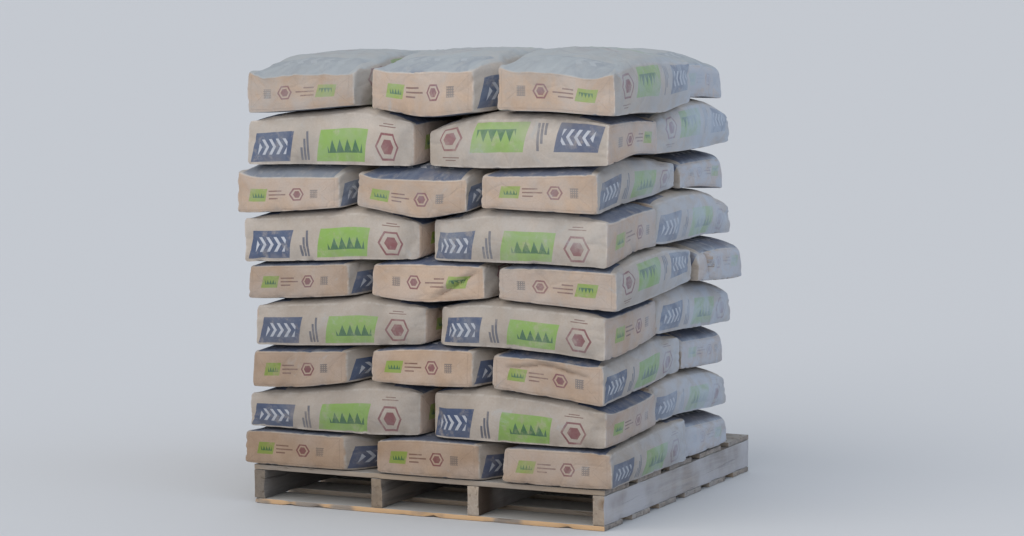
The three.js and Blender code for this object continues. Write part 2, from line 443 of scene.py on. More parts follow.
# A sack: 42.5 kg of cement in a three-ply block-bottom valve bag of kraft paper, 600 x 400.
# The tube is folded square at both ends and closed with a pasted cover patch, so the ends
# stay flat and crisp while the sides belly out, and the slack paper puckers at the corners.
sack_length = 0.600
sack_width = 0.400
sack_height = 0.134
sack_half = np.array((sack_length, sack_width, sack_height)) / 2
fold_cut = 0.0068
middle_cut = 0.0125
fold_band = 0.068
side_band = sack_height / 2 - 0.001


def spread_cuts(half, band):
    fine = max(1, round(band / fold_cut))
    coarse = max(0, round(2 * (half - band) / middle_cut))
    edge = list(np.linspace(-half, -half + band, fine + 1))
    inner = list(np.linspace(-half + band, half - band, coarse + 1))[1:-1] if coarse else []
    return (edge + inner + [-place for place in reversed(edge)])[1:-1]


def cut_sack():
    bpy.ops.object.select_all(action="DESELECT")
    bpy.ops.mesh.primitive_cube_add(size=1)
    blank = bpy.context.object
    bpy.ops.object.mode_set(mode="EDIT")
    bpy.ops.mesh.select_all(action="SELECT")
    bpy.ops.transform.resize(value=(sack_length, sack_width, sack_height))
    for axis, band in enumerate((fold_band, fold_band, side_band)):
        for place in spread_cuts(float(sack_half[axis]), band):
            cut_across(axis, place)
    bpy.ops.object.mode_set(mode="OBJECT")
    return blank


def mesh_points(mesh):
    flat = np.empty(len(mesh.vertices) * 3)
    mesh.vertices.foreach_get("co", flat)
    return flat.reshape(-1, 3)


# The filling of a sack, pressed between two boards as in the stack: the paper is cut larger
# than the pressed sack by the slack, so it puckers at the corners and bellies at the sides.
press_steps = 22
press_board = 0.06
press_lid = (1.2, 1.0, press_board)
press_end = (press_board, 0.8, 0.12)
press_end_gap = 0.006
paper_gap = 0.001
paper_moved_most = 0.022
loose_share = np.array((0.985, 0.97, 0.93))
loose_ripple = 0.002
ripple_pitch = 9


def press_plate(size, place):
    bpy.ops.object.select_all(action="DESELECT")
    bpy.ops.mesh.primitive_cube_add(size=1, location=place)
    plate = bpy.context.object
    plate.scale = size
    bpy.ops.object.transform_apply(location=True, rotation=True, scale=True)
    bpy.ops.object.modifier_add(type="COLLISION")
    plate.collision.thickness_outer = paper_gap
    plate.collision.cloth_friction = 12
    plate.collision.damping = 0.4
    return plate


def fill_sack(name, slack, pressure, stiffness, seed):
    blank = cut_sack()
    blank.name = name
    cut_points = mesh_points(blank.data)
    start = cut_points * loose_share
    for index, point in enumerate(cut_points):
        ripple = noise.noise_vector(Vector(point) * ripple_pitch + Vector((seed, 1.7, 8.1)))
        start[index] += np.array(ripple) * loose_ripple
    blank.data.vertices.foreach_set("co", start.ravel())
    blank.shape_key_add(name="Basis")
    paper_cut = blank.shape_key_add(name="paper_cut")
    paper_cut.data.foreach_set("co", (cut_points * np.array(slack)).ravel())
    lid_reach = sack_height / 2 + press_board / 2
    end_reach = sack_length / 2 + press_end_gap + press_board / 2
    plates = [press_plate(press_lid, (0, 0, side * lid_reach)) for side in (1, -1)]
    plates += [press_plate(press_end, (side * end_reach, 0, 0)) for side in (1, -1)]
    bpy.context.view_layer.objects.active = blank
    cloth = blank.modifiers.new("paper", "CLOTH")
    paper = cloth.settings
    paper.quality = 6
    paper.mass = 0.4
    paper.tension_stiffness = 40
    paper.compression_stiffness = 40
    paper.shear_stiffness = 20
    paper.bending_stiffness = stiffness
    paper.tension_damping = 8
    paper.compression_damping = 8
    paper.shear_damping = 8
    paper.air_damping = 2
    paper.use_pressure = True
    paper.uniform_pressure_force = pressure
    paper.effector_weights.gravity = 0
    paper.rest_shape_key = paper_cut
    cloth.collision_settings.use_collision = True
    cloth.collision_settings.distance_min = paper_gap
    cloth.point_cache.frame_start = 1
    cloth.point_cache.frame_end = press_steps
    for step in range(1, press_steps + 1):
        bpy.context.scene.frame_set(step)
    pressed = blank.evaluated_get(bpy.context.evaluated_depsgraph_get())
    filled = mesh_points(pressed.data).copy()
    for plate in plates:
        bpy.data.objects.remove(plate)
    blank.modifiers.remove(cloth)
    blank.shape_key_clear()
    bpy.context.scene.frame_set(1)
    moved = filled - cut_points
    travel = np.linalg.norm(moved, axis=1)
    filled = cut_points + moved * np.minimum(1, paper_moved_most / np.maximum(travel, 1e-9))[:, None]
    blank.data.vertices.foreach_set("co", filled.ravel())
    return blank, filled, cut_points


sack_blanks = [
    fill_sack("blank_firm", (1.012, 1.03, 1.12), 5, 1.2, 5.3),
    fill_sack("blank_slack", (1.02, 1.045, 1.19), 7, 0.4, 23.9),
    fill_sack("blank_limp", (1.016, 1.05, 1.15), 4, 0.5, 61.2),
]

# Sack paper: natural kraft on the end patches and paler kraft on the tube, printed with
# slanted panels, bars and hexagons. Cement dust lies on every ledge and rubs into the print.
ink_blue = (0.030, 0.058, 0.145)
ink_green = (0.23, 0.40, 0.062)
ink_end_green = (0.255, 0.365, 0.040)
ink_dark_green = (0.035, 0.13, 0.05)
ink_maroon = (0.21, 0.055, 0.06)
ink_brown = (0.19, 0.09, 0.065)
ink_grey = (0.10, 0.10, 0.13)
ink_grid = (0.15, 0.12, 0.11)
ink_bare = (0.56, 0.58, 0.64)
tube_paper = (0.53, 0.455, 0.39)
tube_paper_dark = (0.41, 0.345, 0.285)
end_paper = (0.57, 0.405, 0.285)
end_paper_dark = (0.46, 0.31, 0.205)
end_paper_faded = (0.56, 0.45, 0.38)
paper_fibre = (0.30, 0.22, 0.15)
paper_glue = (0.23, 0.16, 0.11)
paper_rub_and_highlight = (0.66, 0.60, 0.54)
paper_low_shade = (0.20, 0.16, 0.13)
crease_shade = (0.24, 0.19, 0.16)
cement_dust = (0.365, 0.395, 0.415)
weather_dust_and_cool_light = (0.42, 0.48, 0.575)
ink_edge = 0.0012
face_depth = 0.0004
print_lean = 0.22
chevron_fill = 0.42
dot_fill = 0.55
hexagon_slope = 0.866

# places and half sizes of the prints, from the middle of the side, end or broad face
side_rise = -0.017
side_blue = (-0.207, (0.071, 0.043))
side_chevron_field = (-0.205, (0.052, 0.023))
side_chevron_pitch = 0.026
side_green = (0.047, (0.086, 0.043))
side_peak_field = (0.053, (0.062, 0.021))
side_peak_shape = (0.0135, 0.034, -0.019)
side_bar_heights = (0.018, 0.030, 0.040)
side_bar_place = -0.104
side_bar_pitch = 0.0115
side_bar_half = 0.0040
side_bar_foot = 0.040
side_ring_place = 0.206
side_ring_line = (0.035, 0.0032)
side_ring_heart = 0.020
side_line_reach = (0.030, 0.018)
side_line_half = 0.0016
side_line_rise = 0.040
side_line_pitch = 0.008
end_green = (-0.106, (0.034, 0.0235))
end_peak_field = (-0.104, (0.023, 0.010))
end_peak_shape = (0.0058, 0.017, -0.009)
end_line_reach = (0.026, 0.034, 0.019)
end_line_longest = 0.034
end_line_place = -0.028
end_line_half = 0.0026
end_line_pitch = 0.014
end_ring_place = 0.048
end_ring_line = (0.0215, 0.0028)
end_ring_heart = 0.0130
end_grid_field = (0.115, (0.0145, 0.0170))
end_grid_pitch = 0.0078
face_blue = (0.247, (0.051, 0.180))
face_chevron_field = (0.226, (0.019, 0.120))
face_chevron_pitch = 0.052
face_green = (0.150, (0.038, 0.150))
face_ring_place = -0.045
face_ring_line = (0.088, 0.006)
face_ring_heart = 0.048
patch_margin = (0.016, 0.010)
seam_place = 0.105


def printed_paper():
    finish = bpy.data.materials.new("printed_kraft")
    finish.use_nodes = True
    tree = finish.node_tree
    shader = tree.nodes["Principled BSDF"]

    def sums(operation, *values):
        return finish_sum(tree, operation, *values)

    def both(one, two):
        return sums("MULTIPLY", one, two)

    def size(value):
        return sums("ABSOLUTE", value)

    def ranged(*values):
        return finish_range(tree, *values)

    def speckle(*values):
        return finish_noise(tree, spot, *values)

    place = finish_attribute(tree, "print_place", "Vector")
    spot = finish_shift(tree, place, finish_attribute(tree, "sack_seed"))
    x, y, z = finish_node(tree, "ShaderNodeSeparateXYZ", inputs={"Vector": place}).outputs
    at_end = sums("GREATER_THAN", size(x), sack_length / 2 - face_depth)
    at_side = both(sums("GREATER_THAN", size(y), sack_width / 2 - face_depth), sums("SUBTRACT", 1.0, at_end))
    at_face = sums("SUBTRACT", sums("SUBTRACT", 1.0, at_end), at_side)
    slip = finish_attribute(tree, "print_slip")
    side_u = sums("ADD", both(both(sums("SIGN", y), -1.0), x), slip)
    end_u = sums("ADD", both(sums("SIGN", x), y), slip)
    face_v = both(sums("SIGN", z), y)
    up = sums("MULTIPLY_ADD", slip, 0.4, z)
    lowered = sums("SUBTRACT", up, side_rise)
    from_middle = size(x)

    def inside(distance, reach):
        return sums("MULTIPLY_ADD", sums("SUBTRACT", reach, distance), 1 / ink_edge, 0.5)

    def clamped(value):
        return finish_sum(tree, "ADD", value, 0.0, clamp=True)

    def panel(u, v, centre, half, lean=0.0, rise=0.0):
        leaning = sums("SUBTRACT", sums("SUBTRACT", u, centre), both(v, lean))
        across = inside(size(leaning), half[0])
        upward = inside(size(sums("SUBTRACT", v, rise)), half[1])
        return clamped(sums("MINIMUM", across, upward))

    def hexagon(u, v, centre, radius, line=None):
        across = size(sums("SUBTRACT", u, centre))
        upward = size(v)
        slanted = sums("MULTIPLY_ADD", upward, 0.5, both(across, hexagon_slope))
        distance = sums("MAXIMUM", slanted, upward)
        if line is None:
            return clamped(inside(distance, radius))
        return clamped(inside(size(sums("SUBTRACT", distance, radius)), line))

    def ring(u, v, centre, outline, heart):
        return sums("MAXIMUM", hexagon(u, v, centre, *outline), hexagon(u, v, centre, heart))

    def chevrons(u, v, pitch, lean):
        phase = sums("FRACT", sums("DIVIDE", sums("MULTIPLY_ADD", size(v), lean, u), pitch))
        return sums("LESS_THAN", phase, chevron_fill)

    def peaks(u, v, pitch, height, base):
        ramp = sums("PINGPONG", sums("ADD", u, 2.0), pitch)
        return clamped(inside(v, sums("MULTIPLY_ADD", ramp, height / pitch, base)))

    def mesh_dots(u, v, pitch):
        phases = [sums("FRACT", sums("DIVIDE", sums("ADD", along, 2.0), pitch)) for along in (u, v)]
        return sums("MAXIMUM", *(sums("LESS_THAN", phase, dot_fill) for phase in phases))

    # wear of the ink: rubbed through where sacks slid on each other
    rub = ranged(speckle(26, 6.0, 0.7), 0.30, 0.50, 0.52, 1.0)
    scuff = ranged(speckle(6.0, 4.0, 0.6), 0.28, 0.48, 0.66, 1.0)
    ink_cover = both(both(rub, scuff), finish_attribute(tree, "print_strength"))

    def printed(below, tint, face, *shapes, strength=1.0):
        for shape in shapes:
            face = both(face, shape)
        return finish_mix(tree, both(both(face, ink_cover), strength), below, tint)

    # bare paper: mottled tube, end patches that have faded in places, and fibres
    fibre = speckle(180, 3.0, 0.6)
    mottle = speckle(7.0, 5.0, 0.6)
    tube = finish_mix(tree, ranged(mottle, 0.3, 0.7), tube_paper_dark, tube_paper)
    ends = finish_mix(tree, ranged(mottle, 0.3, 0.7), end_paper_dark, end_paper)
    ends = finish_mix(tree, ranged(speckle(3.6, 3.0, 0.55), 0.42, 0.62, 0.0, 0.60), ends, end_paper_faded)
    colour = finish_mix(tree, at_end, tube, ends)
    colour = finish_mix(tree, ranged(fibre, 0.35, 0.7, 0.0, 0.16), colour, paper_fibre)

    # long sides: blue panel with chevrons, dark bars, green panel with peaks, hexagon
    colour = printed(colour, ink_blue, at_side, panel(side_u, up, *side_blue, print_lean, side_rise))
    field = panel(side_u, up, *side_chevron_field, print_lean, side_rise)
    colour = printed(colour, ink_bare, at_side, field,
                     chevrons(side_u, lowered, side_chevron_pitch, 0.7), strength=0.95)
    colour = printed(colour, ink_green, at_side, panel(side_u, up, *side_green, print_lean, side_rise))
    colour = printed(colour, ink_dark_green, at_side, panel(side_u, up, *side_peak_field, 0.0, side_rise),
                     peaks(side_u, lowered, *side_peak_shape))
    for step, height in enumerate(side_bar_heights):
        bar = panel(side_u, up, side_bar_place + side_bar_pitch * step, (side_bar_half, height), 0.0,
                    side_rise - side_bar_foot + height)
        colour = printed(colour, ink_grey, at_side, bar)
    colour = printed(colour, ink_maroon, at_side,
                     ring(side_u, lowered, side_ring_place, side_ring_line, side_ring_heart))
    for step, reach in enumerate(side_line_reach):
        line = panel(side_u, up, side_ring_place, (reach, side_line_half), 0.0,
                     side_line_rise + side_line_pitch * step)
        colour = printed(colour, ink_brown, at_side, line)

    # end patches: small green panel, fine lines, hexagon and a plain grid
    colour = printed(colour, ink_end_green, at_end, panel(end_u, up, *end_green, print_lean))
    colour = printed(colour, ink_dark_green, at_end, panel(end_u, up, *end_peak_field),
                     peaks(end_u, up, *end_peak_shape))
    for step, reach in enumerate(end_line_reach):
        line = panel(end_u, up, end_line_place - (end_line_longest - reach), (reach, end_line_half), 0.0,
                     end_line_pitch - end_line_pitch * step)
        colour = printed(colour, ink_brown, at_end, line)
    colour = printed(colour, ink_maroon, at_end,
                     ring(end_u, up, end_ring_place, end_ring_line, end_ring_heart))
    colour = printed(colour, ink_grid, at_end, panel(end_u, up, *end_grid_field),
                     mesh_dots(end_u, up, end_grid_pitch), strength=0.85)

    # broad faces: a blue band at each end, and a green one and a hexagon between them
    colour = printed(colour, ink_blue, at_face, panel(from_middle, face_v, *face_blue))
    from_band = sums("SUBTRACT", from_middle, face_chevron_field[0])
    colour = printed(colour, ink_bare, at_face, panel(from_middle, face_v, *face_chevron_field),
                     chevrons(face_v, from_band, face_chevron_pitch, 0.9), strength=0.8)
    colour = printed(colour, ink_green, at_face, panel(x, face_v, *face_green))
    colour = printed(colour, ink_maroon, at_face,
                     ring(x, face_v, face_ring_place, face_ring_line, face_ring_heart))

    # edge of the pasted cover patch, and the glued seam along the tube
    patch_u = sums("SUBTRACT", sack_width / 2 - patch_margin[0], size(y))
    patch_v = sums("SUBTRACT", sack_height / 2 - patch_margin[1], size(z))
    patch_edge = both(at_end, ranged(size(sums("MINIMUM", patch_u, patch_v)), 0.0006, 0.0016, 1.0, 0.0))
    from_seam = size(sums("SUBTRACT", face_v, seam_place))
    seam_edge = both(at_face, ranged(from_seam, 0.0006, 0.0018, 1.0, 0.0))
    lines = sums("MAXIMUM", patch_edge, seam_edge)
    colour = finish_mix(tree, both(lines, ranged(mottle, 0.42, 0.60, 0.04, 0.26)), colour, paper_glue)

    # paper worn pale along the folds, with a painted highlight there too, and painted shade that darkens
    # each sack towards its bottom
    side_x = sums("SUBTRACT", sack_length / 2, size(x))
    side_y = sums("SUBTRACT", sack_width / 2, size(y))
    side_z = sums("SUBTRACT", sack_height / 2, size(z))
    least = sums("MINIMUM", side_x, sums("MINIMUM", side_y, side_z))
    most = sums("MAXIMUM", side_x, sums("MAXIMUM", side_y, side_z))
    from_fold = sums("SUBTRACT", sums("ADD", side_x, sums("ADD", side_y, side_z)), sums("ADD", least, most))
    # painted highlight along the folds, together with the pale of worn paper
    fold_rub_and_highlight = both(ranged(from_fold, 0.0005, 0.0065, 1.0, 0.0), ranged(speckle(31, 5.0, 0.7), 0.36, 0.62))
    colour = finish_mix(tree, both(fold_rub_and_highlight, 0.55), colour, paper_rub_and_highlight)
    # painted shade: each sack darker towards its bottom, where it meets the sack below
    low_shade = both(ranged(z, -0.067, -0.020, 1.0, 0.0), ranged(speckle(13, 6.0, 0.7), 0.42, 0.70))
    colour = finish_mix(tree, both(low_shade, 0.46), colour, paper_low_shade)

    # tone and painted shade of each sack, then dust: on ledges and in smears, and on the right side pale
    # blue that is partly dust and partly painted cool light
    colour = finish_tone(tree, colour, finish_attribute(tree, "sack_tone_and_shade"))
    smear = speckle(11, 6.0, 0.68, 0.8)
    patches = ranged(smear, 0.34, 0.62)
    on_top = both(ranged(facing(tree, "Z"), 0.25, 0.85), finish_attribute(tree, "sack_open"))
    blown_and_lit_side = both(ranged(facing(tree, "X"), 0.35, 0.9), finish_attribute(tree, "sack_blown_and_lit"))
    powder = both(finish_attribute(tree, "sack_dust"), sums("MULTIPLY_ADD", patches, 0.70, 0.50))
    ledge = both(on_top, sums("MULTIPLY_ADD", patches, 0.22, 0.86))
    dusty = finish_sum(tree, "ADD", sums("MAXIMUM", powder, ledge), ranged(smear, 0.60, 0.72, 0.0, 0.30),
                       clamp=True)
    colour = finish_mix(tree, dusty, colour, cement_dust)
    # right-facing sides turned pale blue: partly weather dust, partly painted cool light
    colour = finish_mix(tree, both(blown_and_lit_side, sums("MULTIPLY_ADD", patches, 0.36, 0.42)), colour, weather_dust_and_cool_light)
    tree.links.new(ranged(dusty, 0.0, 0.8, 0.70, 0.95), shader.inputs["Roughness"])
    shader.inputs["Specular IOR Level"].default_value = 0.3

    # creases: straight folds between facets of paper that was crushed in handling, with painted shade along
    # the sharpest crease lines
    drift = finish_node(tree, "ShaderNodeTexNoise", {"noise_dimensions": "3D"},
                        {"Vector": spot, "Scale": 9.0, "Detail": 2.0}).outputs["Color"]
    drifted = finish_node(tree, "ShaderNodeVectorMath", {"operation": "MULTIPLY_ADD"},
                          {0: drift, 1: (0.05, 0.05, 0.05), 2: spot}).outputs["Vector"]
    facets = finish_node(tree, "ShaderNodeTexVoronoi", {"feature": "DISTANCE_TO_EDGE"},
                         {"Vector": drifted, "Scale": 7.0}).outputs["Distance"]
    where = ranged(speckle(5.3, 2.0, 0.5), 0.48, 0.62)
    creased = both(ranged(facets, 0.0, 0.055, 1.0, 0.0), where)
    sharp = both(ranged(facets, 0.0, 0.014, 1.0, 0.0), where)
    # painted shade: the sharpest crease lines darkened
    colour = finish_mix(tree, both(sharp, 0.09), colour, crease_shade)
    tree.links.new(colour, shader.inputs["Base Color"])

    # relief: creases, soft dents, fibres, the patch edges and the diagonal folds of the ends
    soft = speckle(34, 5.0, 0.6, 1.2)
    dimple = speckle(12, 3.0, 0.5, 0.6)
    diagonal = size(sums("SUBTRACT", side_y, side_z))
    flap = both(at_end, ranged(diagonal, 0.0004, 0.0030, 1.0, 0.0))
    relief = sums("MULTIPLY_ADD", creased, -0.42, sums("MULTIPLY_ADD", soft, 0.8, both(fibre, 0.12)))
    relief = sums("MULTIPLY_ADD", dimple, 1.1, relief)
    relief = sums("MULTIPLY_ADD", lines, -0.25, relief)
    relief = sums("MULTIPLY_ADD", flap, 0.30, relief)
    tree.links.new(finish_bump(tree, relief, 0.55, 0.004), shader.inputs["Normal"])
    return finish


sack_paper = printed_paper()

# The load: nine layers of five sacks, each layer turned against the last and held by its
# weight alone. A sack is one of the filled blanks, turned some way round and then settled
# into its own place, so that it takes the waves of the layers that it lies between.
layer_count = 9
turns = ((1, 1, 1), (-1, -1, 1), (1, -1, -1), (-1, 1, -1))
upside_down = ("sack_9_front_left", "sack_9_front_right", "sack_8_front_right", "sack_5_front_middle",
               "sack_5_front_right")
sack_smooth = math.radians(50)

# how the paper takes the waves of the layers above and below it
sample_step = 0.012
rim_margin = 0.009
lying_slope = 0.3
settle_blur = 0.034
blur_reach = 2.2
settle_wave = 0.006
wave_proud = 0.3
wave_pitch = 7

# taper and bulge of the ends, and the front ends that were packed narrower
inner_taper = (0.12, 0.165)
outer_taper = (0.0, 0.025)
hidden_taper = 0.09
taper_start = 0.72
taper_curve = 1.4
end_bulge = {"inner": 0.12, "outer": 0.02}
bulge_curve = 3
end_inset = {
    "sack_9_front_left": 0.049, "sack_9_front_middle": 0.065,
    "sack_7_front_left": 0.047, "sack_7_front_middle": 0.033,
    "sack_5_front_left": 0.064, "sack_5_front_middle": 0.030,
    "sack_3_front_left": 0.075, "sack_3_front_middle": 0.050,
    "sack_1_front_left": 0.100, "sack_1_front_middle": 0.064,
}
inset_start = 0.58
inset_curve = 1.4

# slump of the ends, as shares of the height lost from above and from below
slump_start = 0.30
slump_curve = 1.8
slump = {"end_on": (0.50, 0.04), "crosswise": (0.28, 0.04), "crown": (0.14, 0.03), "sheltered": (0.14, 0.04)}
marked_slump = {
    "sack_8_front_right": (-1, 0.42, 0.04),
    "sack_7_front_right": (1, 0.45, 0.10),
    "sack_5_front_right": (1, 0.22, 0.08),
    "sack_3_front_right": (1, 0.14, 0.06),
}

# where the folded ends and the underside keep the sack's square shape, and its rounding
fold_start = 0.78
fold_curve = 1.5
fold_hold = {"end_on": np.array((0.7, 0.85, 0.8)), "crosswise": np.array((0.8, 0.6, 0.6))}
floor_start = 0.3
floor_hold = np.array((0.0, 0.3, 0.7))
upper_round = np.array((0.013, 0.026, 0.022))
lower_round = np.array((0.010, 0.016, 0.012))
slumped_round = np.array((0.030, 0.055, 0.042))
lift_share = 1.02
crown_dent = 0.008
crown_pitch = 9
crown_fine_pitch = 21
crown_fine_share = 0.6

# dust, tone, painted shade and print of each sack
open_dust = {"crown": 0.88, "covered": 0.13}
dusty_tops = {"sack_7_front_left": 0.50}
dust_least = 0.02
dust_rise = 0.028
dust_drift = (-0.04, 0.08)
# tone of each sack, with painted shade that darkens the lower layers
tone_top = 1.02
layer_shade_fall = 0.30
tone_drift = (-0.06, 0.05)
# painted shade: these sacks darkened further, the left ones and the bottom row
shaded_sacks = {"sack_9_front_left": 0.88, "sack_5_front_left": 0.84, "sack_3_front_left": 0.80,
               "sack_1_front_left": 0.80, "sack_1_front_middle": 0.92, "sack_1_front_right": 0.92}
# the pale blue of the right-facing sides, partly dust and partly painted cool light: more towards the back,
# and little on sheltered sacks
blown_and_lit_depth = 0.7
blown_and_lit_least = 0.25
blown_and_lit_share = {"open": 1.0, "sheltered": 0.08}
print_slip = (-0.009, 0.009)
print_strength = (0.84, 1.0)

# crinkles, creases and the puckers at the folded ends
crinkle_depth = 0.0016
crinkle_pitch = 24
crease_count = 13
crease_reach = (0.04, 0.15)
crease_depth = (0.002, 0.0055)
crease_width = 0.008
crease_overrun = 0.004
crease_spread = 0.9
on_face_within = 1e-4
pucker_count = 9
pucker_reach = (0.035, 0.11)
pucker_depth = (0.0015, 0.0045)
groove_width = 0.006
groove_lip = (0.020, 0.014, 0.8)
marked_creases = (
    ("sack_5_front_middle", (-0.3, -0.020, -0.062), (-0.3, -0.175, 0.042), 0.016),
    ("sack_5_back_right", (0.3, -0.105, -0.066), (0.3, -0.150, 0.066), 0.016),
    ("sack_3_front_right", (-0.3, 0.150, 0.020), (-0.3, -0.060, 0.062), 0.010),
    ("sack_3_front_right", (-0.3, 0.060, 0.062), (-0.3, -0.150, 0.024), 0.010),
)


def lying_heights(cad, side, low, high):
    """Smoothed heights of the upper (side 1) or lower (side -1) face of a sack's CAD node."""
    points = [vertex.co.copy() for vertex in cad.data.vertices]
    faces = [face.vertices[:] for face in cad.data.polygons if face.normal.z * side > lying_slope]
    tree = BVHTree.FromPolygons(points, faces)
    outside = high.z if side > 0 else low.z
    xs = np.arange(low.x + rim_margin, high.x - rim_margin, sample_step)
    ys = np.arange(low.y + rim_margin, high.y - rim_margin, sample_step)
    heights = np.empty((len(xs), len(ys)))
    for i, x in enumerate(xs):
        for j, y in enumerate(ys):
            hit = tree.ray_cast(Vector((x, y, outside + side)), Vector((0, 0, -side)))[0]
            if hit is None:
                hit = tree.find_nearest(Vector((x, y, outside)))[0]
            heights[i, j] = hit.z
    reach = math.ceil(blur_reach * settle_blur / sample_step)
    kernel = np.exp(-((np.arange(-reach, reach + 1) * sample_step / settle_blur) ** 2) / 2)
    kernel /= kernel.sum()
    for _ in range(2):
        padded = np.pad(heights, ((reach, reach), (0, 0)), mode="reflect", reflect_type="odd")
        heights = sum(weight * padded[i:i + len(heights)] for i, weight in enumerate(kernel)).T
    return xs, ys, heights


def height_at(surface, x, y):
    xs, ys, heights = surface
    i = np.clip((x - xs[0]) / sample_step, 0, len(xs) - 1.001)
    j = np.clip((y - ys[0]) / sample_step, 0, len(ys) - 1.001)
    i0 = i.astype(int)
    j0 = j.astype(int)
    fi = i - i0
    fj = j - j0
    return (heights[i0, j0] * (1 - fi) * (1 - fj) + heights[i0 + 1, j0] * fi * (1 - fj)
            + heights[i0, j0 + 1] * (1 - fi) * fj + heights[i0 + 1, j0 + 1] * fi * fj)


def crease_paper(cut, draw):
    """Depth of the creases and of the puckers at the ends, which die out away from an edge."""
    creases = []
    for _ in range(crease_count):
        axis = draw.choice((0, 0, 1, 1, 1))
        along = 1 - axis
        start = np.zeros(3)
        start[axis] = draw.choice((-1, 1)) * sack_half[axis]
        start[along] = draw.uniform(-crease_spread, crease_spread) * sack_half[along]
        start[2] = draw.choice((-1, 1)) * sack_half[2]
        heading = np.zeros(3)
        heading[along] = draw.uniform(-1, 1)
        heading[2] = -math.copysign(draw.uniform(0.25, 1.0), start[2])
        creases.append((axis, start, heading, draw.uniform(*crease_reach), draw.uniform(*crease_depth)))
    for end in (-1, 1):
        for _ in range(pucker_count):
            axis = draw.choice((1, 1, 2))
            across = 3 - axis
            start = np.zeros(3)
            start[0] = end * sack_half[0]
            start[axis] = draw.choice((-1, 1)) * sack_half[axis]
            start[across] = draw.uniform(-crease_spread, crease_spread) * sack_half[across]
            heading = np.zeros(3)
            heading[0] = -end
            heading[across] = draw.uniform(-0.5, 0.5)
            creases.append((axis, start, heading, draw.uniform(*pucker_reach), draw.uniform(*pucker_depth)))
    depth = np.zeros(len(cut))
    for axis, start, heading, reach, deepest in creases:
        heading = heading / np.linalg.norm(heading)
        on_face = np.abs(cut[:, axis] - start[axis]) < on_face_within
        offset = cut - start
        run = offset @ heading
        apart = np.linalg.norm(offset - run[:, None] * heading, axis=1)
        fade = np.clip(1 - run / reach, 0, 1) * (run > -crease_overrun)
        depth += on_face * fade * np.exp(-(apart / crease_width) ** 2) * deepest
    return depth


def fold_across(cut, start, finish, depth):
    """Depth of one marked crease from start to finish on an end face, deepest at its middle."""
    start = np.array(start)
    along = np.array(finish) - start
    length = np.linalg.norm(along)
    offset = cut - start
    run = offset @ along / length
    apart = np.cross(offset, along / length)[:, 0]
    on_end = np.abs(cut[:, 0] - start[0]) < on_face_within
    fade = np.sin(np.pi * np.clip(run / length, 0, 1)) ** 0.5
    lip_place, lip_width, lip_share = groove_lip
    groove = np.exp(-(apart / groove_width) ** 2)
    groove -= lip_share * np.exp(-((apart - lip_place) / lip_width) ** 2)
    return on_end * fade * groove * depth


def past(share, start):
    """How far each share lies past start on its way to 1, as 0 to 1."""
    return np.clip((share - start) / (1 - start), 0, 1)


def round_sack(points, rest, inward, node, end_on):
    """Places in the sack as shares of its half sizes, squared at the ends and rounded."""
    share = points / np.abs(points).max(axis=0)
    near_fold = past(np.abs(rest[:, 0]) / sack_half[0], fold_start)[:, None]
    hold = fold_hold["end_on" if end_on else "crosswise"]
    share += (rest / sack_half - share) * hold * near_fold ** fold_curve
    near_floor = past(-rest[:, 2] / sack_half[2], floor_start)[:, None]
    share += (rest / sack_half - share) * floor_hold * near_floor
    upper_radius = slumped_round if node.endswith("back_right") else upper_round
    height_share = np.clip(rest[:, 2:] / sack_half[2] * 0.8 + 0.5, 0, 1)
    radius = lower_round + (upper_radius - lower_round) * height_share ** 2 * (3 - 2 * height_share)
    flat_part = np.clip(share * sack_half, radius - sack_half, sack_half - radius)
    over = (share * sack_half - flat_part) / radius
    over /= np.maximum(np.linalg.norm(over, axis=1), 1)[:, None]
    return (flat_part + over * radius - inward) / sack_half


def slump_sack(share, node, layer_number, end_on):
    """Height of each place as a share of the sack's height, less where an end has slumped."""
    lift = np.clip(share[:, 2] * lift_share / 2 + 0.5, 0, 1)
    if "_back_" in node:
        outward = -1 if node.endswith("back_left") and not end_on else 1
        kind = "crown" if layer_number == layer_count else "end_on" if end_on else "crosswise"
        from_above, from_below = slump[kind if node.endswith("back_right") else "sheltered"]
    else:
        outward, from_above, from_below = marked_slump.get(node, (1, 0.0, 0.0))
    sunk = past(share[:, 0] * outward, slump_start) ** slump_curve
    return 0.5 + (lift - 0.5) * (1 - sunk * np.where(lift > 0.5, from_above, from_below))


def taper_sack(share, node, end_on, box_length, draw):
    """The ends drawn in, more where they meet another sack than where they are open."""
    near_end = past(np.abs(share[:, 0]), taper_start)
    inner = 1 if node.endswith("left") else -1
    at_inner = (share[:, 0] * inner > 0) & (not end_on)
    taper = np.where(at_inner, draw.uniform(*inner_taper), draw.uniform(*outer_taper))
    if end_on and "_back_" in node:
        taper = np.where(share[:, 0] < 0, hidden_taper, taper)
    share[:, 1] *= 1 - taper * near_end ** taper_curve
    bulge = np.where(at_inner, end_bulge["inner"], end_bulge["outer"])
    share[:, 0] *= 1 - bulge * near_end * np.abs(share[:, 1]) ** bulge_curve
    if node in end_inset:
        near_front = past(-share[:, 0], inset_start) ** inset_curve
        share[:, 1] = 1 - (1 - share[:, 1]) * (1 - near_front * end_inset[node] / box_length)


